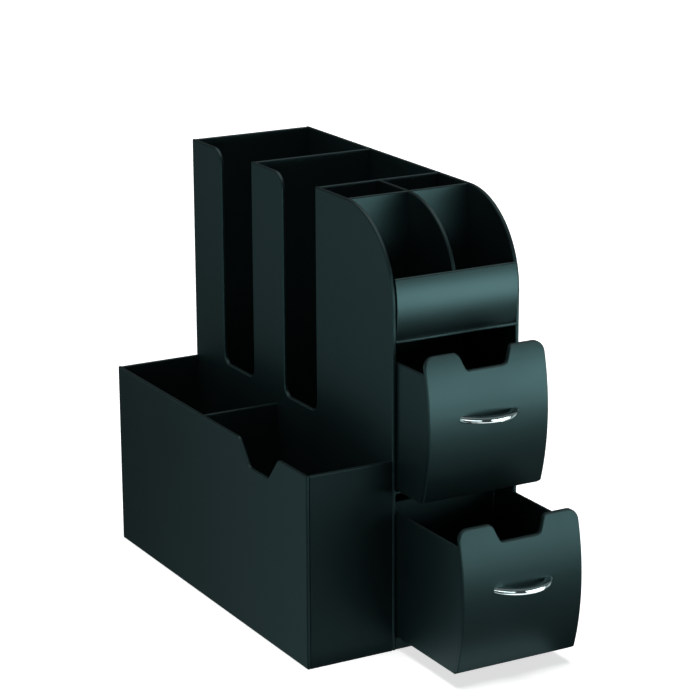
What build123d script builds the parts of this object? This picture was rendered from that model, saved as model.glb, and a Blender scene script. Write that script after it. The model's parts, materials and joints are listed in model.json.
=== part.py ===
from build123d import *
import os
from math import sqrt

os.makedirs("parts", exist_ok=True)

# A counter-top condiment caddy in moulded plastic: a low open bin on the left, and on the right a
# tower with two drawers under packet and stirrer compartments, with two tall bays behind it for
# cups and lids. Millimetres. +Z is up, the front faces -Y and +X is the viewer's right. The origin
# is the middle of the underside, without the drawers' reach.

# Moulded panels and the tongue-and-groove seams that hold them together
wall = 3.0
edge_round = 1.2
edge_break = 0.6
tongue_thickness = 1.5
tongue_reach = 1.0
tongue_stop = 8.0
seat_clearance = 0.1

# Tower and cup bays
tower_height = 320.0
tower_inside_width = 98.9
drawer_bay_depth = 108.0
drawer_bay_height = 107.7
deck_rise = 7.0
cup_bay_depth = 97.5
crown_radius = 66.0

# Open grip slots in the left wall of the cup bays, and the lips that stay between them
lip_width = 50.0
lip_round = 13.0
grip_slot_rise = 6.0
grip_slot_round = 8.0

# Packet and stirrer compartments
stirrer_bay_depth = 38.0
partition_drop = 0.5
fascia_height = 43.6
fascia_bow_radius = 75.0
fascia_proud = 1.7
fascia_edge_round = 1.3

# Ribs under the drawer deck
deck_ribs = 3
rib_thickness = 2.0

# Low bin
bin_inside_width = 66.3
bin_height = 144.0
napkin_bay_depth = 170.5
bin_divider_drop = 4.0
notch_top_width = 61.0
notch_bottom_width = 29.5
notch_depth = 18.6
notch_from_front = 72.6
notch_round = 5.0

# Drawers: a tray with a bowed front plate
drawer_wall = 2.5
drawer_side_clearance = 0.5
drawer_floor_clearance = 0.4
drawer_back_clearance = 0.7
front_thickness = 3.0
front_bow = 8.0
front_proud = 7.0
front_bottom_gap = 2.0
front_top_gap = 1.0
front_corner_round = 8.0
front_foot_round = 1.5
front_edge_break = 0.7
tray_drop = 12.0
tray_corner_round = 4.0
scoop_top_width = 43.0
scoop_bottom_width = 32.0
scoop_depth = 12.7
scoop_round = 4.0
upper_pull = 37.4
lower_pull = 83.4

# Bow handles and their screws
handle_span = 48.6
handle_foot_width = 6.8
handle_height = 4.6
handle_thickness = 4.7
handle_projection = 13.6
handle_front_break = 1.4
handle_back_break = 0.8
handle_from_bottom = 59.0
screw_centres = 39.0
screw_radius = 1.5
screw_length = 6.0
screw_head_radius = 2.8
screw_head_height = 2.0
screw_slot_width = 0.8
screw_slot_depth = 1.0
screw_hole_clearance = 0.15
thread_clearance = 0.05
thread_end_gap = 0.3

# Places across the object, from left to right
total_width = bin_inside_width + tower_inside_width + 3 * wall
bin_left = -total_width / 2
bin_inside_left = bin_left + wall
tower_left = bin_inside_left + bin_inside_width
tower_inside_left = tower_left + wall
tower_inside_right = tower_inside_left + tower_inside_width
tower_centre = (tower_inside_left + tower_inside_right) / 2
bin_centre = (bin_inside_left + tower_left) / 2

# Places from front to back
total_depth = drawer_bay_depth + 2 * cup_bay_depth + 3 * wall
front = -total_depth / 2
back = total_depth / 2
bay_back = front + drawer_bay_depth
lid_bay_front = bay_back + wall
cup_divider_front = lid_bay_front + cup_bay_depth
cup_bay_front = cup_divider_front + wall
back_panel_front = cup_bay_front + cup_bay_depth
partition_front = bay_back - stirrer_bay_depth - wall
bin_divider_front = front + wall + napkin_bay_depth

# Heights
deck_top = deck_rise + wall
mid_shelf_top = deck_top + drawer_bay_height + wall
top_shelf_top = mid_shelf_top + drawer_bay_height + wall
grip_slot_floor = bin_height + grip_slot_rise
partition_top = tower_height - partition_drop
seam_inset = (wall - tongue_thickness) / 2


def facing_front(y):
    """Upright plane at depth y: its x runs to the right and its y runs up."""
    return Plane.XZ.offset(-y)


def shelf_seam(panel_front, panel_back, panel_top):
    """Front, back, low and high edge of the tongue on the side of a flat shelf."""
    low = panel_top - wall + seam_inset
    return (panel_front + tongue_stop, panel_back - tongue_stop, low, low + tongue_thickness)


def upright_seam(panel_front, panel_bottom, panel_top):
    """The same for an upright cross panel, whose tongue stops short of both its ends."""
    near = panel_front + seam_inset
    return (near, near + tongue_thickness, panel_bottom + tongue_stop, panel_top - tongue_stop)


# Every seam on the tower's side walls, and every seam on the bin's side walls
deck_seam = shelf_seam(front, bay_back, deck_top)
cup_floor_seam = shelf_seam(lid_bay_front, back_panel_front, wall)
mid_shelf_seam = shelf_seam(front, bay_back, mid_shelf_top)
top_shelf_seam = shelf_seam(front, bay_back, top_shelf_top)
partition_seam = upright_seam(partition_front, top_shelf_top, partition_top)
tower_back_seam = upright_seam(bay_back, wall, tower_height)
cup_divider_seam = upright_seam(cup_divider_front, wall, tower_height)
back_panel_seam = upright_seam(back_panel_front, 0, tower_height)
tower_seams = (deck_seam, cup_floor_seam, mid_shelf_seam, top_shelf_seam, partition_seam,
               tower_back_seam, cup_divider_seam, back_panel_seam)

bin_floor_seam = shelf_seam(front + wall, back - wall, wall)
bin_front_seam = upright_seam(front, 0, bin_height)
bin_back_seam = upright_seam(back - wall, 0, bin_height)
bin_divider_seam = upright_seam(bin_divider_front, wall, bin_height - bin_divider_drop)
bin_seams = (bin_floor_seam, bin_front_seam, bin_back_seam, bin_divider_seam)


def add_tongues(left_face, right_face, seam):
    """Tongues out of both ends of a panel that spans two side walls."""
    near, far, low, high = seam
    span = right_face - left_face + 2 * tongue_reach
    with Locations(((left_face + right_face) / 2, (near + far) / 2, (low + high) / 2)):
        Box(span, far - near, high - low)


def cut_grooves(face, direction, seams):
    """Grooves in a side wall for the tongues that meet its face at X = face."""
    depth = tongue_reach + seat_clearance
    for near, far, low, high in seams:
        with Locations((face + direction * depth / 2, (near + far) / 2, (low + high) / 2)):
            Box(depth, far - near + 2 * seat_clearance, high - low + 2 * seat_clearance,
                mode=Mode.SUBTRACT)


def round_outline(side_wall, outer, inner):
    """Round a side wall's outline on its outer face and break it on its inner face.

    outer and inner are the places of these faces among the wall's faces from left to right.
    """
    fillet(side_wall.faces().sort_by(Axis.X)[outer].edges(), edge_round)
    chamfer(side_wall.faces().sort_by(Axis.X)[inner].edges(), edge_break)


def upright_panel(left_face, right_face, panel_front, bottom, top, seam):
    """A flat cross panel between two side walls, with a rounded top edge and a tongue a side."""
    with BuildPart() as panel:
        with BuildSketch(facing_front(panel_front)):
            with Locations((left_face, bottom)):
                Rectangle(right_face - left_face, top - bottom, align=(Align.MIN, Align.MIN))
        extrude(amount=-wall)
        top_edges = panel.faces().sort_by(Axis.Z)[-1].edges().filter_by(Axis.X)
        fillet(top_edges, edge_round)
        add_tongues(left_face, right_face, seam)
    return panel


# Side walls of the tower and the cup bays ------------------------------------------------------

# Right wall: full height and depth, with the quarter-round crown at its front.
with BuildPart() as right_panel:
    with BuildSketch(Plane.YZ.offset(tower_inside_right)) as right_outline:
        with Locations((front, 0)):
            Rectangle(total_depth, tower_height, align=(Align.MIN, Align.MIN))
        crown_corner = right_outline.vertices().group_by(Axis.Y)[-1].sort_by(Axis.X)[0]
        fillet(crown_corner, crown_radius)
    extrude(amount=wall)
    round_outline(right_panel, outer=-1, inner=0)
    cut_grooves(tower_inside_right, 1, tower_seams)
right_panel.part.label = "right_panel"
export_step(right_panel.part, "parts/right_panel.step")

# Left wall of the tower: the same outline, with a grip slot open at the top of each cup bay. What
# stays between the slots is a tall lip with a rounded front corner.
with BuildPart() as main_left_panel:
    with BuildSketch(Plane.YZ.offset(tower_left)) as left_outline:
        with Locations((front, 0)):
            Rectangle(total_depth, tower_height, align=(Align.MIN, Align.MIN))
        crown_corner = left_outline.vertices().group_by(Axis.Y)[-1].sort_by(Axis.X)[0]
        fillet(crown_corner, crown_radius)
        for bay_front in (lid_bay_front, cup_bay_front):
            slot_width = cup_bay_depth + wall - lip_width
            with Locations((bay_front, grip_slot_floor)):
                Rectangle(slot_width, tower_height, align=(Align.MIN, Align.MIN), mode=Mode.SUBTRACT)
        top_corners = left_outline.vertices().group_by(Axis.Y)[-1].sort_by(Axis.X)
        fillet([top_corners[2], top_corners[4]], lip_round)
        slot_corners = left_outline.vertices().filter_by(
            lambda corner: abs(corner.Y - grip_slot_floor) < edge_round
        )
        fillet(slot_corners, grip_slot_round)
    extrude(amount=wall)
    round_outline(main_left_panel, outer=0, inner=-1)
    cut_grooves(tower_inside_left, -1, tower_seams)
    cut_grooves(tower_left, 1, bin_seams)
main_left_panel.part.label = "main_left_panel"
export_step(main_left_panel.part, "parts/main_left_panel.step")

# Cross panels of the tower and the cup bays ------------------------------------------------------

# The back of the drawer tower is also the front wall of the lid bay, and stands on the floor
# moulding behind the step of the drawer deck. The cup divider stands between the lid bay and the
# cup bay, and the back panel closes the right-hand block down to the counter.
for panel_name, panel_front, bottom, seam in (
    ("tower_back", bay_back, wall, tower_back_seam),
    ("cup_divider", cup_divider_front, wall, cup_divider_seam),
    ("back_panel", back_panel_front, 0, back_panel_seam),
):
    panel = upright_panel(
        tower_inside_left, tower_inside_right, panel_front, bottom, tower_height, seam
    )
    panel.part.label = panel_name
    export_step(panel.part, f"parts/{panel_name}.step")

# Floor moulding: the drawer deck with its front apron, a step down behind it and the floor of the
# two cup bays. Ribs hold the deck up from below.
with BuildPart() as base_tray:
    with BuildSketch(Plane.YZ.offset(tower_inside_left)):
        with BuildLine():
            Polyline(
                (front, 0),
                (front, deck_top),
                (bay_back, deck_top),
                (bay_back, wall),
                (back_panel_front, wall),
                (back_panel_front, 0),
                (bay_back - wall, 0),
                (bay_back - wall, deck_rise),
                (front + wall, deck_rise),
                (front + wall, 0),
                close=True,
            )
        make_face()
    extrude(amount=tower_inside_width)
    apron_edges = base_tray.edges().filter_by(Axis.X).group_by(Axis.Y)[0]
    fillet(apron_edges, edge_round)
    rib_pitch = tower_inside_width / (deck_ribs + 1)
    with BuildSketch(Plane.XY):
        with Locations((tower_centre, (front + bay_back) / 2)):
            with GridLocations(rib_pitch, 1, deck_ribs, 1):
                Rectangle(rib_thickness, drawer_bay_depth - 2 * wall)
    extrude(amount=deck_rise)
    add_tongues(tower_inside_left, tower_inside_right, deck_seam)
    add_tongues(tower_inside_left, tower_inside_right, cup_floor_seam)
base_tray.part.label = "base_tray"
export_step(base_tray.part, "parts/base_tray.step")

# Shelves: the floor of the upper drawer bay, and the floor of the packet and stirrer compartments.
for shelf_name, shelf_top, seam in (
    ("mid_shelf", mid_shelf_top, mid_shelf_seam),
    ("top_shelf", top_shelf_top, top_shelf_seam),
):
    with BuildPart() as shelf:
        with BuildSketch(Plane.XY.offset(shelf_top - wall)):
            with Locations((tower_centre, front)):
                Rectangle(tower_inside_width, drawer_bay_depth, align=(Align.CENTER, Align.MIN))
        extrude(amount=wall)
        fillet(shelf.faces().sort_by(Axis.Y)[0].edges().filter_by(Axis.X), edge_round)
        add_tongues(tower_inside_left, tower_inside_right, seam)
    shelf.part.label = shelf_name
    export_step(shelf.part, f"parts/{shelf_name}.step")

# Packet and stirrer compartments -----------------------------------------------------------------

# Bowed fascia in front of the packet compartments. It stands on the top shelf, stands a little
# proud of the side walls at mid height and leans back at its rounded top edge.
fascia_middle = top_shelf_top + fascia_height / 2
fascia_bow_centre = front - fascia_proud + fascia_bow_radius
with BuildPart() as front_fascia:
    with BuildSketch(Plane.YZ.offset(tower_inside_left)) as fascia_section:
        with Locations((fascia_bow_centre, fascia_middle)):
            Circle(fascia_bow_radius)
            Circle(fascia_bow_radius - wall, mode=Mode.SUBTRACT)
            Rectangle(fascia_bow_radius, fascia_height, align=(Align.MAX, Align.CENTER),
                      mode=Mode.INTERSECT)
        fillet(fascia_section.vertices().group_by(Axis.Y)[-1], fascia_edge_round)
    extrude(amount=tower_inside_width)
front_fascia.part.label = "front_fascia"
export_step(front_fascia.part, "parts/front_fascia.step")

# Divider between the left and right packet compartments, which runs on between the two stirrer
# compartments. Its crown follows the side walls, its front is cut back for the fascia, and a slot
# from above takes the partition that crosses it.
half_lap_height = (top_shelf_top + partition_top) / 2

with BuildSketch() as fascia_room:
    with Locations((front, top_shelf_top)):
        Rectangle(fascia_bow_radius, fascia_height + seat_clearance, align=(Align.MIN, Align.MIN))
    with Locations((fascia_bow_centre, fascia_middle)):
        Circle(fascia_bow_radius - wall - seat_clearance, mode=Mode.SUBTRACT)

with BuildPart() as packet_divider:
    with BuildSketch(Plane.YZ.offset(tower_centre - wall / 2)) as divider_outline:
        with Locations((front, 0)):
            Rectangle(drawer_bay_depth, partition_top, align=(Align.MIN, Align.MIN))
        crown_corner = divider_outline.vertices().group_by(Axis.Y)[-1].sort_by(Axis.X)[0]
        fillet(crown_corner, crown_radius)
        with Locations((front, top_shelf_top)):
            Rectangle(drawer_bay_depth, partition_top - top_shelf_top,
                      align=(Align.MIN, Align.MIN), mode=Mode.INTERSECT)
        add(fascia_room.sketch, mode=Mode.SUBTRACT)
        with Locations((partition_front + wall / 2, half_lap_height)):
            Rectangle(wall + 2 * seat_clearance, crown_radius, align=(Align.CENTER, Align.MIN),
                      mode=Mode.SUBTRACT)
    extrude(amount=wall)
    crown_edges = packet_divider.edges().filter_by(GeomType.CIRCLE).filter_by(
        lambda edge: abs(edge.radius - crown_radius) < edge_round
    )
    chamfer(crown_edges, edge_break)
packet_divider.part.label = "packet_divider"
export_step(packet_divider.part, "parts/packet_divider.step")

# Partition between the packet and the stirrer compartments, with a slot from below that drops
# over the divider.
with BuildPart() as stirrer_partition:
    blank = upright_panel(tower_inside_left, tower_inside_right, partition_front, top_shelf_top,
                          partition_top, partition_seam)
    add(blank.part)
    with BuildSketch(facing_front(partition_front)):
        with Locations((tower_centre, top_shelf_top)):
            Rectangle(wall + 2 * seat_clearance, half_lap_height + seat_clearance - top_shelf_top,
                      align=(Align.CENTER, Align.MIN))
    extrude(amount=-wall, mode=Mode.SUBTRACT)
stirrer_partition.part.label = "stirrer_partition"
export_step(stirrer_partition.part, "parts/stirrer_partition.step")

# Low bin on the left -------------------------------------------------------------------------------

# Outer side wall, with a finger notch in its rim near the front.
with BuildPart() as bin_side_panel:
    with BuildSketch(Plane.YZ.offset(bin_left)) as bin_side_outline:
        with Locations((front, 0)):
            Rectangle(total_depth, bin_height, align=(Align.MIN, Align.MIN))
        notch_centre = front + notch_from_front
        with BuildLine():
            Polyline(
                (notch_centre - notch_top_width / 2, bin_height),
                (notch_centre - notch_bottom_width / 2, bin_height - notch_depth),
                (notch_centre + notch_bottom_width / 2, bin_height - notch_depth),
                (notch_centre + notch_top_width / 2, bin_height),
                close=True,
            )
        make_face(mode=Mode.SUBTRACT)
        notch_corners = bin_side_outline.vertices().filter_by(
            lambda corner: abs(corner.X - notch_centre) < notch_top_width / 2 + edge_round
        )
        fillet(notch_corners, notch_round)
    extrude(amount=wall)
    round_outline(bin_side_panel, outer=0, inner=-1)
    cut_grooves(bin_inside_left, -1, bin_seams)
bin_side_panel.part.label = "bin_side_panel"
export_step(bin_side_panel.part, "parts/bin_side_panel.step")

# Front and back walls and the cross divider, all between the outer side wall and the tower.
for panel_name, panel_front, bottom, top, seam in (
    ("bin_front_panel", front, 0, bin_height, bin_front_seam),
    ("bin_back_panel", back - wall, 0, bin_height, bin_back_seam),
    ("bin_divider", bin_divider_front, wall, bin_height - bin_divider_drop, bin_divider_seam),
):
    panel = upright_panel(bin_inside_left, tower_left, panel_front, bottom, top, seam)
    panel.part.label = panel_name
    export_step(panel.part, f"parts/{panel_name}.step")

# Floor of the bin.
with BuildPart() as bin_floor:
    with BuildSketch(Plane.XY):
        with Locations((bin_centre, 0)):
            Rectangle(bin_inside_width, total_depth - 2 * wall)
    extrude(amount=wall)
    add_tongues(bin_inside_left, tower_left, bin_floor_seam)
bin_floor.part.label = "bin_floor"
export_step(bin_floor.part, "parts/bin_floor.step")

# Drawers -------------------------------------------------------------------------------------------

drawer_width = tower_inside_width - 2 * drawer_side_clearance
drawer_left = tower_centre - drawer_width / 2
front_height = drawer_bay_height - front_bottom_gap - front_top_gap
front_radius = ((front_height / 2) ** 2 + front_bow ** 2) / (2 * front_bow)
tray_bottom_to_top = front_bottom_gap + front_height - tray_drop - drawer_floor_clearance
handle_foot_centres = handle_span - handle_foot_width
handle_above_middle = handle_from_bottom - front_height / 2


def bow_at(height):
    """How far the outer face of a drawer front lies behind its bulge, at a height from its middle."""
    return front_radius - sqrt(front_radius ** 2 - height ** 2)


# The handle's feet sit on flats that are let into the bowed face, as deep as their top edge needs,
# and the screw heads on small square flats in its inner face.
handle_flat_half = handle_height / 2 + seat_clearance
handle_flat_depth = bow_at(handle_above_middle + handle_flat_half)
screw_flat_width = 2 * (screw_head_radius + screw_hole_clearance)


def make_tray(shelf_top, bulge):
    """Open box with side walls that end in the curve of the front plate."""
    tray_bottom = shelf_top + drawer_floor_clearance
    tray_back = bulge + front_proud + drawer_bay_depth - drawer_back_clearance
    bow_middle = shelf_top + front_bottom_gap + front_height / 2
    with BuildPart() as tray:
        with BuildSketch(Plane.YZ.offset(drawer_left)):
            with Locations((bulge, tray_bottom)):
                Rectangle(tray_back - bulge, tray_bottom_to_top, align=(Align.MIN, Align.MIN))
            with Locations((bulge + front_radius, bow_middle)):
                Circle(front_radius - front_thickness - seat_clearance, mode=Mode.INTERSECT)
        extrude(amount=drawer_width)
        back_corners = tray.edges().filter_by(Axis.Z).group_by(Axis.Y)[-1]
        fillet(back_corners, tray_corner_round)
        under_edges = tray.faces().sort_by(Axis.Z)[0].edges().sort_by(Axis.Y)[1:]
        chamfer(under_edges, edge_break)
        with BuildSketch(Plane.XY.offset(tray_bottom + drawer_wall)) as pocket:
            with Locations((tower_centre, bulge)):
                Rectangle(drawer_width - 2 * drawer_wall, tray_back - drawer_wall - bulge,
                          align=(Align.CENTER, Align.MIN))
            fillet(pocket.vertices().group_by(Axis.Y)[-1], tray_corner_round - drawer_wall)
        extrude(amount=tray_bottom_to_top, mode=Mode.SUBTRACT)
        rim_edges = tray.faces().sort_by(Axis.Z)[-1].edges().sort_by(Axis.Y)[2:]
        chamfer(rim_edges, edge_break)
    return tray


def make_front(shelf_top, bulge):
    """Bowed plate with rounded top corners and a finger scoop in its top edge."""
    bow_middle = shelf_top + front_bottom_gap + front_height / 2
    front_top = bow_middle + front_height / 2
    scoop_bottom = front_top - scoop_depth
    handle_middle = bow_middle + handle_above_middle
    with BuildPart() as plate:
        with BuildSketch(Plane.YZ.offset(drawer_left - front_thickness)):
            with Locations((bulge + front_radius, bow_middle)):
                Circle(front_radius)
                Circle(front_radius - front_thickness, mode=Mode.SUBTRACT)
                Rectangle(front_radius, front_height + 2 * front_thickness,
                          align=(Align.MAX, Align.CENTER), mode=Mode.INTERSECT)
        extrude(amount=drawer_width + 2 * front_thickness)
        with BuildSketch(facing_front(bulge)) as outline:
            with Locations((tower_centre, bow_middle)):
                Rectangle(drawer_width, front_height)
            fillet(outline.vertices().group_by(Axis.Y)[-1], front_corner_round)
            fillet(outline.vertices().group_by(Axis.Y)[0], front_foot_round)
            with BuildLine():
                Polyline(
                    (tower_centre - scoop_top_width / 2, front_top),
                    (tower_centre - scoop_bottom_width / 2, scoop_bottom),
                    (tower_centre + scoop_bottom_width / 2, scoop_bottom),
                    (tower_centre + scoop_top_width / 2, front_top),
                    close=True,
                )
            make_face(mode=Mode.SUBTRACT)
            scoop_corners = outline.vertices().filter_by(
                lambda corner: abs(corner.X - tower_centre) < scoop_top_width / 2 + edge_round
            )
            fillet(scoop_corners, scoop_round)
        extrude(amount=-(front_bow + 2 * front_thickness), mode=Mode.INTERSECT)
        chamfer(plate.faces().sort_by(Axis.Y)[0].edges(), front_edge_break)
        with BuildSketch(facing_front(bulge + handle_flat_depth)):
            with Locations((tower_centre, handle_middle)):
                with GridLocations(handle_foot_centres, 1, 2, 1):
                    Rectangle(handle_foot_width + 2 * seat_clearance, 2 * handle_flat_half)
        extrude(amount=front_bow, mode=Mode.SUBTRACT)
        with BuildSketch(facing_front(bulge)):
            with Locations((tower_centre, handle_middle)):
                with GridLocations(screw_centres, 1, 2, 1):
                    Circle(screw_radius + screw_hole_clearance)
        extrude(amount=-(front_bow + front_thickness), mode=Mode.SUBTRACT)
        with BuildSketch(facing_front(bulge + front_thickness)):
            with Locations((tower_centre, handle_middle)):
                with GridLocations(screw_centres, 1, 2, 1):
                    Rectangle(screw_flat_width, screw_flat_width)
        extrude(amount=-front_bow, mode=Mode.SUBTRACT)
    return plate


def make_handle(shelf_top, bulge):
    """Bow handle: one bar that arches forward from foot to foot, with broken edges all along."""
    seat = bulge + handle_flat_depth
    crest = seat - handle_projection
    handle_middle = shelf_top + front_bottom_gap + handle_from_bottom
    outer_half = handle_span / 2
    inner_half = outer_half - handle_foot_width
    with BuildPart() as handle:
        with BuildSketch(Plane.XY.offset(handle_middle)):
            with BuildLine():
                outer_arc = ThreePointArc(
                    (tower_centre - outer_half, seat),
                    (tower_centre, crest),
                    (tower_centre + outer_half, seat),
                )
                inner_arc = ThreePointArc(
                    (tower_centre - inner_half, seat),
                    (tower_centre, crest + handle_thickness),
                    (tower_centre + inner_half, seat),
                )
                Line(outer_arc @ 0, inner_arc @ 0)
                Line(outer_arc @ 1, inner_arc @ 1)
            make_face()
        extrude(amount=handle_height / 2, both=True)
        front_edges = handle.edges().filter_by(GeomType.CIRCLE).group_by(SortBy.RADIUS)[-1]
        chamfer(front_edges, handle_front_break)
        back_edges = handle.edges().filter_by(GeomType.CIRCLE).filter_by(
            lambda edge: abs(edge.radius - inner_arc.radius) < seat_clearance
        )
        chamfer(back_edges, handle_back_break)
        with BuildSketch(facing_front(seat)):
            with Locations((tower_centre, handle_middle)):
                with GridLocations(screw_centres, 1, 2, 1):
                    Circle(screw_radius + thread_clearance)
        thread_depth = screw_length - front_thickness + handle_flat_depth + thread_end_gap
        extrude(amount=thread_depth, mode=Mode.SUBTRACT)
    return handle


def make_screws(shelf_top, bulge):
    """The two slotted screws that hold a handle from inside the drawer."""
    head_seat = bulge + front_thickness
    handle_middle = shelf_top + front_bottom_gap + handle_from_bottom
    with BuildPart() as screws:
        with BuildSketch(facing_front(head_seat)):
            with Locations((tower_centre, handle_middle)):
                with GridLocations(screw_centres, 1, 2, 1):
                    Circle(screw_head_radius)
        extrude(amount=-screw_head_height)
        with BuildSketch(facing_front(head_seat + screw_head_height)):
            with Locations((tower_centre, handle_middle)):
                with GridLocations(screw_centres, 1, 2, 1):
                    Rectangle(2 * screw_head_radius, screw_slot_width)
        extrude(amount=screw_slot_depth, mode=Mode.SUBTRACT)
        with BuildSketch(facing_front(head_seat)):
            with Locations((tower_centre, handle_middle)):
                with GridLocations(screw_centres, 1, 2, 1):
                    Circle(screw_radius)
        extrude(amount=screw_length)
    return screws


# Both drawers are alike. Each is drawn where it stands pulled out of its bay.
for drawer_name, shelf_top, pull in (
    ("upper", mid_shelf_top, upper_pull),
    ("lower", deck_top, lower_pull),
):
    bulge = front - front_proud - pull
    for piece_name, piece in (
        ("drawer_tray", make_tray(shelf_top, bulge)),
        ("drawer_front", make_front(shelf_top, bulge)),
        ("drawer_handle", make_handle(shelf_top, bulge)),
        ("drawer_screws", make_screws(shelf_top, bulge)),
    ):
        piece.part.label = f"{drawer_name}_{piece_name}"
        export_step(piece.part, f"parts/{drawer_name}_{piece_name}.step")
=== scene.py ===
import json
import math

import bmesh
import bpy
from mathutils import Matrix, Vector

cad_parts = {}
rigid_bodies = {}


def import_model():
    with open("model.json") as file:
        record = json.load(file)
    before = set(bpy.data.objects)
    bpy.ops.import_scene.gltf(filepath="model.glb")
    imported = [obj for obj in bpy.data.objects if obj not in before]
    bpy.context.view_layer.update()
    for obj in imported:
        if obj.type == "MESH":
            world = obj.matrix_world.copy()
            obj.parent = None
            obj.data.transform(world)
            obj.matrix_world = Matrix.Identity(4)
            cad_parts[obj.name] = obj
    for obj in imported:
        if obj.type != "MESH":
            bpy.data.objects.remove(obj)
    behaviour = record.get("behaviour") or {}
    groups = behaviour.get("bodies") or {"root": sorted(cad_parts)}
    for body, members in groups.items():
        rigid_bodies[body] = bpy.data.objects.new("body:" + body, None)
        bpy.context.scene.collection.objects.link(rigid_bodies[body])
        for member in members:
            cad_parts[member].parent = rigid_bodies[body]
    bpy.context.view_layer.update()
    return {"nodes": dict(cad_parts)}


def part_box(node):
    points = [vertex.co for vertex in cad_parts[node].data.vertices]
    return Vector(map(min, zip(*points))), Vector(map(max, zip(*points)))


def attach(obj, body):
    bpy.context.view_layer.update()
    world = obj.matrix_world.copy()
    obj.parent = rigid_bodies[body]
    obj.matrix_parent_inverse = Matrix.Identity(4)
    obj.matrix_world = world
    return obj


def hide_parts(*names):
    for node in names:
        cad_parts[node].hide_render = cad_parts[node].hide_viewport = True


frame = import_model()
nodes = frame["nodes"]
bpy.ops.object.select_all(action="DESELECT")

# ---- Camera ------------------------------------------------------------------------------------
# The caddy is seen from its front left and a little above, through a long lens, so that its
# edges run almost parallel. The small shift is the photograph's own framing.
camera_azimuth = math.radians(-29.39)
camera_elevation = math.radians(16.33)
camera_roll = math.radians(-0.22)
camera_place = Vector((-0.8785, -1.6244, 0.7164))
camera_data = bpy.data.cameras.new("product_camera")
camera_data.lens = 131.2
camera_data.sensor_width = 36.0
camera_data.sensor_fit = "HORIZONTAL"
camera_data.shift_x = -0.0005
camera_data.shift_y = 0.0149
camera_data.clip_end = 30.0
camera = bpy.data.objects.new("product_camera", camera_data)
bpy.context.scene.collection.objects.link(camera)
camera.matrix_world = (
    Matrix.Translation(camera_place)
    @ Matrix.Rotation(camera_azimuth, 4, "Z")
    @ Matrix.Rotation(math.pi / 2 - camera_elevation, 4, "X")
    @ Matrix.Rotation(camera_roll, 4, "Z")
)
bpy.context.scene.camera = camera
bpy.context.scene.view_settings.view_transform = "Standard"

# ---- Studio paper ------------------------------------------------------------------------------
# White seamless paper under and behind the caddy. It glows, as paper does that is lit from below,
# so that only a faint shadow shows where the caddy stands. Plastic and chrome don't mirror it:
# they mirror the reflector cards and soft boxes further down.
paper_width = 40.0
backdrop_radius = 19.0
backdrop_height = 16.0
backdrop_foot = -1.0
backdrop_sides = 96


def studio_paper(name, white, glow):
    """Matt paper that is lit from below as well."""
    material = bpy.data.materials.new(name)
    material.use_nodes = True
    shader = material.node_tree.nodes["Principled BSDF"]
    shader.inputs["Base Color"].default_value = (white, white, white, 1)
    shader.inputs["Roughness"].default_value = 1.0
    shader.inputs["Specular IOR Level"].default_value = 0.0
    shader.inputs["Emission Color"].default_value = (1, 1, 1, 1)
    shader.inputs["Emission Strength"].default_value = glow
    return material


bpy.ops.mesh.primitive_plane_add(size=paper_width, location=(0, 0, 0))
paper = bpy.context.object
paper.name = "studio_paper"
paper.data.materials.append(studio_paper("floor_paper", white=0.9, glow=0.7))
bpy.ops.mesh.primitive_cylinder_add(
    vertices=backdrop_sides, radius=backdrop_radius, depth=backdrop_height,
    end_fill_type="NOTHING", location=(0, 0, backdrop_foot + backdrop_height / 2))
backdrop = bpy.context.object
backdrop.name = "studio_backdrop"
backdrop.data.materials.append(studio_paper("backdrop_paper", white=0.0, glow=1.1))
for sheet in (paper, backdrop):
    sheet.visible_diffuse = False
    sheet.visible_glossy = False
    sheet.visible_shadow = False

# ---- Room and ceiling light --------------------------------------------------------------------
# A dim grey room with soft light from the ceiling. The narrow light that hangs first is for the
# paper alone and draws the contact shadow. The wide one for the plastic comes after the handles.
room_glow = 0.05
room_tint = (0.8, 1.0, 1.01)
world = bpy.data.worlds.new("dim_room")
bpy.context.scene.world = world
world.use_nodes = True
world.node_tree.nodes["Background"].inputs["Color"].default_value = (*room_tint, 1)
world.node_tree.nodes["Background"].inputs["Strength"].default_value = room_glow


def hang_lamp(name, light):
    """Put a light into the scene. It points straight down until it is turned."""
    lamp = bpy.data.objects.new(name, light)
    bpy.context.scene.collection.objects.link(lamp)
    return lamp


def hang_ceiling_light(name, strength, width_in_degrees, receivers, others_only=False):
    """Light from straight above, for the receivers alone or for everything but them."""
    ceiling_light = bpy.data.lights.new(name, "SUN")
    ceiling_light.energy = strength
    ceiling_light.angle = math.radians(width_in_degrees)
    group = bpy.data.collections.new(f"{name}_receivers")
    for receiver in receivers:
        group.objects.link(receiver)
    if others_only:
        for member in group.collection_objects:
            member.light_linking.link_state = "EXCLUDE"
    hang_lamp(name, ceiling_light).light_linking.receiver_collection = group


hang_ceiling_light("paper_light", strength=2.4, width_in_degrees=36, receivers=[paper])

# ---- Reflector cards ---------------------------------------------------------------------------
# Glowing cards stand and lie round the caddy. Only the sheen of the plastic and the chrome show
# them: a long one in front on the right draws the bright band on the bowed fronts, those on the
# left lift the long side walls, and those on the floor lift the lowest edges and the far sides.
left_tint = (0.66, 1.0, 1.02)
upwards = (0, 0, 1)
rightwards = (1, 0, 0)
back_and_left = (-0.49, 0.87, 0)
back_and_right = (0.62, 0.78, 0)
floor_card_level = -0.002


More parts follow.
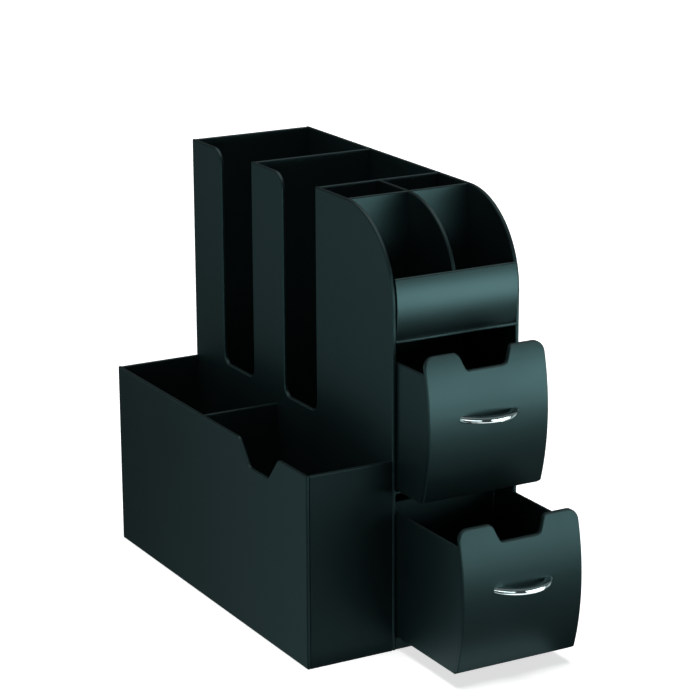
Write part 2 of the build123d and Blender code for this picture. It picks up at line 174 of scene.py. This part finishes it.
def hang_card(name, centre, facing, width, height, glow, tint=room_tint):
    """Hang an upright card, or a level one where it faces up, that only reflections show."""
    material = bpy.data.materials.new(name)
    material.use_nodes = True
    shader = material.node_tree.nodes["Principled BSDF"]
    shader.inputs["Base Color"].default_value = (0, 0, 0, 1)
    shader.inputs["Specular IOR Level"].default_value = 0.0
    shader.inputs["Emission Color"].default_value = (*tint, 1)
    shader.inputs["Emission Strength"].default_value = glow
    turn = Vector(facing).to_track_quat("Z", "Y")
    bpy.ops.mesh.primitive_plane_add(size=1, location=centre, rotation=turn.to_euler())
    card = bpy.context.object
    card.name = name
    card.scale = (width, height, 1)
    card.data.materials.append(material)
    card.visible_camera = False
    card.visible_diffuse = False
    card.visible_shadow = False
    card.visible_transmission = False


hang_card("front_right_card", centre=(0.515, -0.95, 0.18), facing=back_and_left,
          width=0.91, height=0.38, glow=4.6)
hang_card("low_right_card", centre=(0.72, -1.27, -0.72), facing=back_and_left,
          width=1.3, height=1.2, glow=0.2)
hang_card("left_card", centre=(-0.42, 0.13, -0.08), facing=rightwards,
          width=0.85, height=0.95, glow=0.5, tint=left_tint)
hang_card("left_back_card", centre=(-0.42, 0.8, 0.24), facing=rightwards,
          width=0.45, height=0.45, glow=0.32, tint=left_tint)
hang_card("near_floor_card", centre=(0.0, -0.259, floor_card_level), facing=upwards,
          width=0.15, height=0.028, glow=0.9)
hang_card("bin_corner_card", centre=(-0.05, -0.2, floor_card_level), facing=upwards,
          width=0.09, height=0.05, glow=0.6)
hang_card("front_left_card", centre=(-0.75, -0.95, 0.18), facing=back_and_right,
          width=0.9, height=0.38, glow=3.0)
hang_card("right_floor_card", centre=(1.0, 0.7, floor_card_level), facing=upwards,
          width=1.6, height=2.0, glow=0.5)
hang_card("left_floor_card", centre=(-1.25, -0.75, floor_card_level), facing=upwards,
          width=1.2, height=0.9, glow=0.35)

# ---- Side walls --------------------------------------------------------------------------------
# The two tall walls that carry the tower and the tall bays behind it. They are moulded in one
# charcoal-black plastic with a fine satin grain, and their outlines are rounded in the mould.
charcoal = (0.009, 0.0145, 0.015)
coarse_grain = 0.00003


def object_noise(tree, scale, detail=2.0):
    """Noise on the piece's own coordinates, so that it moves with the piece."""
    place = tree.nodes.new("ShaderNodeTexCoord")
    noise = tree.nodes.new("ShaderNodeTexNoise")
    noise.inputs["Scale"].default_value = scale
    noise.inputs["Detail"].default_value = detail
    tree.links.new(place.outputs["Object"], noise.inputs["Vector"])
    return noise


def raise_bumps(tree, noise, strength, height):
    """Turn a noise into bumps of a given height in metres."""
    bumps = tree.nodes.new("ShaderNodeBump")
    bumps.inputs["Strength"].default_value = strength
    bumps.inputs["Distance"].default_value = height
    tree.links.new(noise.outputs["Fac"], bumps.inputs["Height"])
    return bumps


def vary_gloss(tree, noise, smoothest, dullest, low=0.0, high=1.0):
    """Let the roughness follow a noise from its low value to its high one."""
    gloss = tree.nodes.new("ShaderNodeMapRange")
    gloss.inputs["From Min"].default_value = low
    gloss.inputs["From Max"].default_value = high
    gloss.inputs["To Min"].default_value = smoothest
    gloss.inputs["To Max"].default_value = dullest
    tree.links.new(noise.outputs["Fac"], gloss.inputs["Value"])
    tree.links.new(gloss.outputs["Result"], tree.nodes["Principled BSDF"].inputs["Roughness"])


def vary_tone(tree, noise, darkest, palest, low=0.0, high=1.0):
    """Let the colour follow a noise from its low value to its high one."""
    tone = tree.nodes.new("ShaderNodeValToRGB")
    for end, position, colour in ((0, low, darkest), (1, high, palest)):
        tone.color_ramp.elements[end].position = position
        tone.color_ramp.elements[end].color = (*colour, 1)
    tree.links.new(noise.outputs["Fac"], tone.inputs["Fac"])
    tree.links.new(tone.outputs["Color"], tree.nodes["Principled BSDF"].inputs["Base Color"])


def moulded_plastic(name, base, roughness, grain_height, gloss_level=0.5):
    """Satin moulded plastic: a spark-eroded grain, faint flow marks and slightly uneven gloss."""
    gloss_spread = 0.03
    tone_spread = 0.12
    flow_low = 0.3
    flow_high = 0.7
    material = bpy.data.materials.new(name)
    material.use_nodes = True
    tree = material.node_tree
    shader = tree.nodes["Principled BSDF"]
    shader.inputs["Specular IOR Level"].default_value = gloss_level
    shader.inputs["Specular Tint"].default_value = (0.6, 1.0, 1.02, 1)

    grain = raise_bumps(tree, object_noise(tree, 1800.0, detail=3.0), 0.5, grain_height)
    ripple = raise_bumps(tree, object_noise(tree, 22.0), 0.25, 0.0004)
    tree.links.new(grain.outputs["Normal"], ripple.inputs["Normal"])
    tree.links.new(ripple.outputs["Normal"], shader.inputs["Normal"])

    flow = object_noise(tree, 9.0, detail=6.0)
    flow.inputs["Roughness"].default_value = 0.65
    vary_gloss(tree, flow, roughness - gloss_spread, roughness + gloss_spread, flow_low, flow_high)
    darker = [(1 - tone_spread) * part for part in base]
    paler = [(1 + tone_spread) * part for part in base]
    vary_tone(tree, flow, darker, paler, flow_low, flow_high)
    return material


def dress(material, *names):
    """Give CAD nodes a material in place of the plain one they come with."""
    for name in names:
        nodes[name].data.materials.clear()
        nodes[name].data.materials.append(material)


wall_plastic = moulded_plastic("charcoal_wall_plastic", charcoal, 0.42, coarse_grain)
dress(wall_plastic, "right_panel", "main_left_panel")

# ---- Cross panels ------------------------------------------------------------------------------
# Flat panels glued between the side walls by their tongues: the back of the drawer tower, the wall
# between the two tall bays, and the rear wall.
deep_charcoal = (0.0085, 0.0135, 0.014)
panel_plastic = moulded_plastic("charcoal_panel_plastic", deep_charcoal, 0.44, coarse_grain)
dress(panel_plastic, "tower_back", "cup_divider", "back_panel")

# ---- Floor moulding and shelves ----------------------------------------------------------------
# The ribbed floor moulding and the two shelves, moulded in the same plastic and let into the side
# walls. They are a little smoother than the walls, because the trays rub on them.
fine_grain = 0.00002
shelf_plastic = moulded_plastic("charcoal_shelf_plastic", deep_charcoal, 0.38, fine_grain)
dress(shelf_plastic, "base_tray", "mid_shelf", "top_shelf")

# ---- Fascia ------------------------------------------------------------------------------------
# The bowed strip that closes the upper compartments in front. It is one moulding, bare and
# slightly glossier than the walls, and it stands on the top shelf between the side walls.
fascia_plastic = moulded_plastic("charcoal_fascia_plastic", charcoal, 0.36, fine_grain,
                                 gloss_level=0.68)
dress(fascia_plastic, "front_fascia")

# ---- Compartment walls -------------------------------------------------------------------------
# Two thin moulded walls that cross in a half lap and part the space over the drawers into four
# compartments. The divider has the quarter-round crown of the side walls.
divider_plastic = moulded_plastic("charcoal_divider_plastic", deep_charcoal, 0.4, coarse_grain)
dress(divider_plastic, "packet_divider", "stirrer_partition")

# ---- Low bin -----------------------------------------------------------------------------------
# The open bin beside the tower: an outer side wall with a finger notch, front and back walls, a
# cross divider and a floor, glued like the tower. The front wall is the least glossy of them.
bin_plastic = moulded_plastic("charcoal_bin_plastic", charcoal, 0.38, coarse_grain,
                              gloss_level=0.4)
dress(bin_plastic, "bin_side_panel", "bin_back_panel", "bin_divider", "bin_floor")
bin_front_plastic = moulded_plastic("charcoal_bin_front_plastic", charcoal, 0.36, coarse_grain,
                                    gloss_level=0.24)
dress(bin_front_plastic, "bin_front_panel")

# ---- Drawer trays ------------------------------------------------------------------------------
# The open boxes of the drawers, each one deep moulding with thin walls. Their sides are a shade
# duller than the fronts, since they rub along the bay.
tray_plastic = moulded_plastic("charcoal_tray_plastic", deep_charcoal, 0.44, coarse_grain)
dress(tray_plastic, "upper_drawer_tray", "lower_drawer_tray")

# ---- Drawer fronts -----------------------------------------------------------------------------
# The bowed plates with a finger scoop in their top edge. They are moulded apart from the trays
# and have a smooth finish. The lower one's sheen is made weaker and duller as painted shade.
front_plastic = moulded_plastic("charcoal_front_plastic", charcoal, 0.36, fine_grain)
dress(front_plastic, "upper_drawer_front")
# Painted shade: a copy of the front plastic with a weaker sheen, so the lower front looks less
# lit.
shaded_front_plastic = moulded_plastic("charcoal_shaded_front_plastic", charcoal, 0.4, fine_grain,
                                     gloss_level=0.41)
dress(shaded_front_plastic, "lower_drawer_front")

# ---- Bow handles -------------------------------------------------------------------------------
# One solid cast bar for each drawer, chrome-plated, which arches forward between two feet and is a
# little thicker there. Its section is a rounded rectangle, and screws hold it through the front.
handle_foot_width = 0.0076
handle_crest_thickness = 0.0054
handle_corner_round = 0.002
handle_corner_steps = 10
handle_rings = 48
arch_overrun = math.radians(8)
weld_distance = 0.00001
sharpest_smooth_angle = math.radians(40)


def polished_chrome(name):
    """Bright plating with fine wiping marks that make its gloss a little uneven."""
    material = bpy.data.materials.new(name)
    material.use_nodes = True
    tree = material.node_tree
    shader = tree.nodes["Principled BSDF"]
    shader.inputs["Base Color"].default_value = (0.8, 0.83, 0.84, 1)
    shader.inputs["Metallic"].default_value = 1.0
    vary_gloss(tree, object_noise(tree, 350.0, detail=4.0), 0.04, 0.12)
    return material


def bend_handle(drawer, chrome):
    """Spin the bar's section along its arch, thicken it towards the feet and trim them flat."""
    low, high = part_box(f"{drawer}_drawer_handle")
    half_span = (high[0] - low[0]) / 2
    middle_x = (low[0] + high[0]) / 2
    middle_z = (low[2] + high[2]) / 2
    crest, seat = low[1], high[1]
    rise = seat - crest

    # The outer and the inner face are two arcs, which come further apart towards the feet.
    outer_radius = (half_span ** 2 + rise ** 2) / (2 * rise)
    inner_half = half_span - handle_foot_width
    inner_rise = rise - handle_crest_thickness
    inner_radius = (inner_half ** 2 + inner_rise ** 2) / (2 * inner_rise)
    centre_gap = outer_radius - handle_crest_thickness - inner_radius
    arch_centre = Vector((middle_x, crest + outer_radius, middle_z))
    reach = math.asin(half_span / outer_radius) + arch_overrun

    # The section starts as a plane at the crest, whose corners are rounded.
    bpy.ops.mesh.primitive_plane_add(
        size=1, location=(middle_x, crest + handle_crest_thickness / 2, middle_z),
        rotation=(0, math.pi / 2, 0))
    bar = bpy.context.object
    bar.name = f"{drawer}_bow_handle"
    bar.scale = (high[2] - low[2], handle_crest_thickness, 1)
    bpy.ops.object.transform_apply(location=True, rotation=True, scale=True)
    bpy.ops.object.mode_set(mode="EDIT")
    bpy.ops.mesh.bevel(offset=handle_corner_round, segments=handle_corner_steps,
                       affect="VERTICES")
    bpy.ops.mesh.delete(type="ONLY_FACE")

    # It is turned back to one end of the arch and spun from there to the other.
    bpy.ops.mesh.select_all(action="SELECT")
    bpy.ops.transform.rotate(value=reach, orient_axis="Z", center_override=arch_centre)
    bpy.ops.mesh.spin(steps=handle_rings, angle=-2 * reach, center=arch_centre, axis=(0, 0, 1))

    # Each ring is scaled from its outer point until it meets the inner arc.
    quarter_step = reach / handle_rings / 2
    for ring in range(handle_rings + 1):
        turn = reach * (2 * ring / handle_rings - 1)
        outer_point = arch_centre + outer_radius * Vector((math.sin(turn), -math.cos(turn), 0))
        inner_reach = (centre_gap * math.cos(turn)
                       + math.sqrt(inner_radius ** 2 - (centre_gap * math.sin(turn)) ** 2))
        thicker = (outer_radius - inner_reach) / handle_crest_thickness
        mesh = bmesh.from_edit_mesh(bar.data)
        for vertex in mesh.verts:
            arm = vertex.co - arch_centre
            vertex.select_set(abs(math.atan2(arm.x, -arm.y) - turn) < quarter_step)
        mesh.select_flush_mode()
        bmesh.update_edit_mesh(bar.data)
        bpy.ops.transform.resize(value=(thicker, thicker, 1), center_override=outer_point)

    # The feet are cut flat and closed where they stand on the drawer's front.
    bpy.ops.mesh.select_all(action="SELECT")
    bpy.ops.mesh.bisect(plane_co=(0, seat, 0), plane_no=(0, 1, 0), clear_outer=True,
                        use_fill=True)
    bpy.ops.mesh.select_all(action="SELECT")
    bpy.ops.mesh.remove_doubles(threshold=weld_distance)
    bpy.ops.mesh.normals_make_consistent(inside=False)
    bpy.ops.object.mode_set(mode="OBJECT")
    bpy.ops.object.shade_smooth_by_angle(angle=sharpest_smooth_angle)
    bar.data.materials.append(chrome)
    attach(bar, f"{drawer}_drawer")
    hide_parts(f"{drawer}_drawer_handle")
    bar.select_set(False)
    return bar


handle_chrome = polished_chrome("polished_chrome")
chrome_handles = bpy.data.collections.new("chrome_handles")
for drawer in ("upper", "lower"):
    chrome_handles.objects.link(bend_handle(drawer, handle_chrome))

# ---- Glints on the handles ---------------------------------------------------------------------
# Small soft boxes that only the chrome is lit by: one from the right whitens that half of the
# bow, one on the left draws a streak, and one from below draws the line under its front. A broad
# grey glow from behind stands for the plastic that the top face and the right foot mirror.
handle_place = Vector((0.035, -0.24, 0.12))
glint_tint = (0.9, 1.0, 1.0)
plastic_tint = (0.72, 1.0, 1.0)
plastic_glow_direction = Vector((-0.6, -0.6, -0.5))


def hang_glint(name, centre, width, height, radiance):
    """Hang a soft box of a given radiance that faces the handles and lights them alone."""
    box_light = bpy.data.lights.new(name, "AREA")
    box_light.shape = "RECTANGLE"
    box_light.size = width
    box_light.size_y = height
    box_light.energy = radiance * width * height * math.pi
    box_light.color = glint_tint
    box = hang_lamp(name, box_light)
    box.location = centre
    box.rotation_euler = (handle_place - Vector(centre)).to_track_quat("-Z", "Y").to_euler()
    box.light_linking.receiver_collection = chrome_handles


hang_glint("right_glint", centre=(0.8, -1.1, -0.2), width=1.35, height=0.85, radiance=1.5)
hang_glint("left_glint", centre=(-1.1, -0.75, 0.31), width=0.8, height=0.6, radiance=1.3)
hang_glint("under_glint", centre=(0.1, -0.42, -0.25), width=0.8, height=0.35, radiance=1.6)

plastic_glow = bpy.data.lights.new("plastic_glow", "SUN")
plastic_glow.energy = 0.3
plastic_glow.angle = math.pi
plastic_glow.color = plastic_tint
glow_lamp = hang_lamp("plastic_glow", plastic_glow)
glow_lamp.rotation_euler = plastic_glow_direction.to_track_quat("-Z", "Y").to_euler()
glow_lamp.light_linking.receiver_collection = chrome_handles
glow_lamp.light_linking.blocker_collection = chrome_handles

# ---- Light on the plastic ----------------------------------------------------------------------
# The wide soft light from the ceiling, which leaves the caddy nearly black, as its plastic is. The
# paper has a light of its own, and polished chrome would show this one as a white disc.
hang_ceiling_light("caddy_light", strength=1.6, width_in_degrees=80,
                   receivers=[paper, *chrome_handles.objects], others_only=True)

# ---- Handle screws -----------------------------------------------------------------------------
# Two slotted steel screws a handle, driven from inside the drawer. They are turned from bright
# steel wire and zinc-plated.
zinc_shade = (0.42, 0.43, 0.43)
zinc_shine = (0.66, 0.66, 0.63)


def plated_steel(name):
    """Zinc plate: a pale metal with a fine turned grain and cloudy gloss."""
    material = bpy.data.materials.new(name)
    material.use_nodes = True
    tree = material.node_tree
    tree.nodes["Principled BSDF"].inputs["Metallic"].default_value = 1.0
    clouds = object_noise(tree, 900.0)
    vary_tone(tree, clouds, zinc_shade, zinc_shine)
    vary_gloss(tree, clouds, 0.22, 0.4)
    return material


dress(plated_steel("zinc_plated_steel"), "upper_drawer_screws", "lower_drawer_screws")
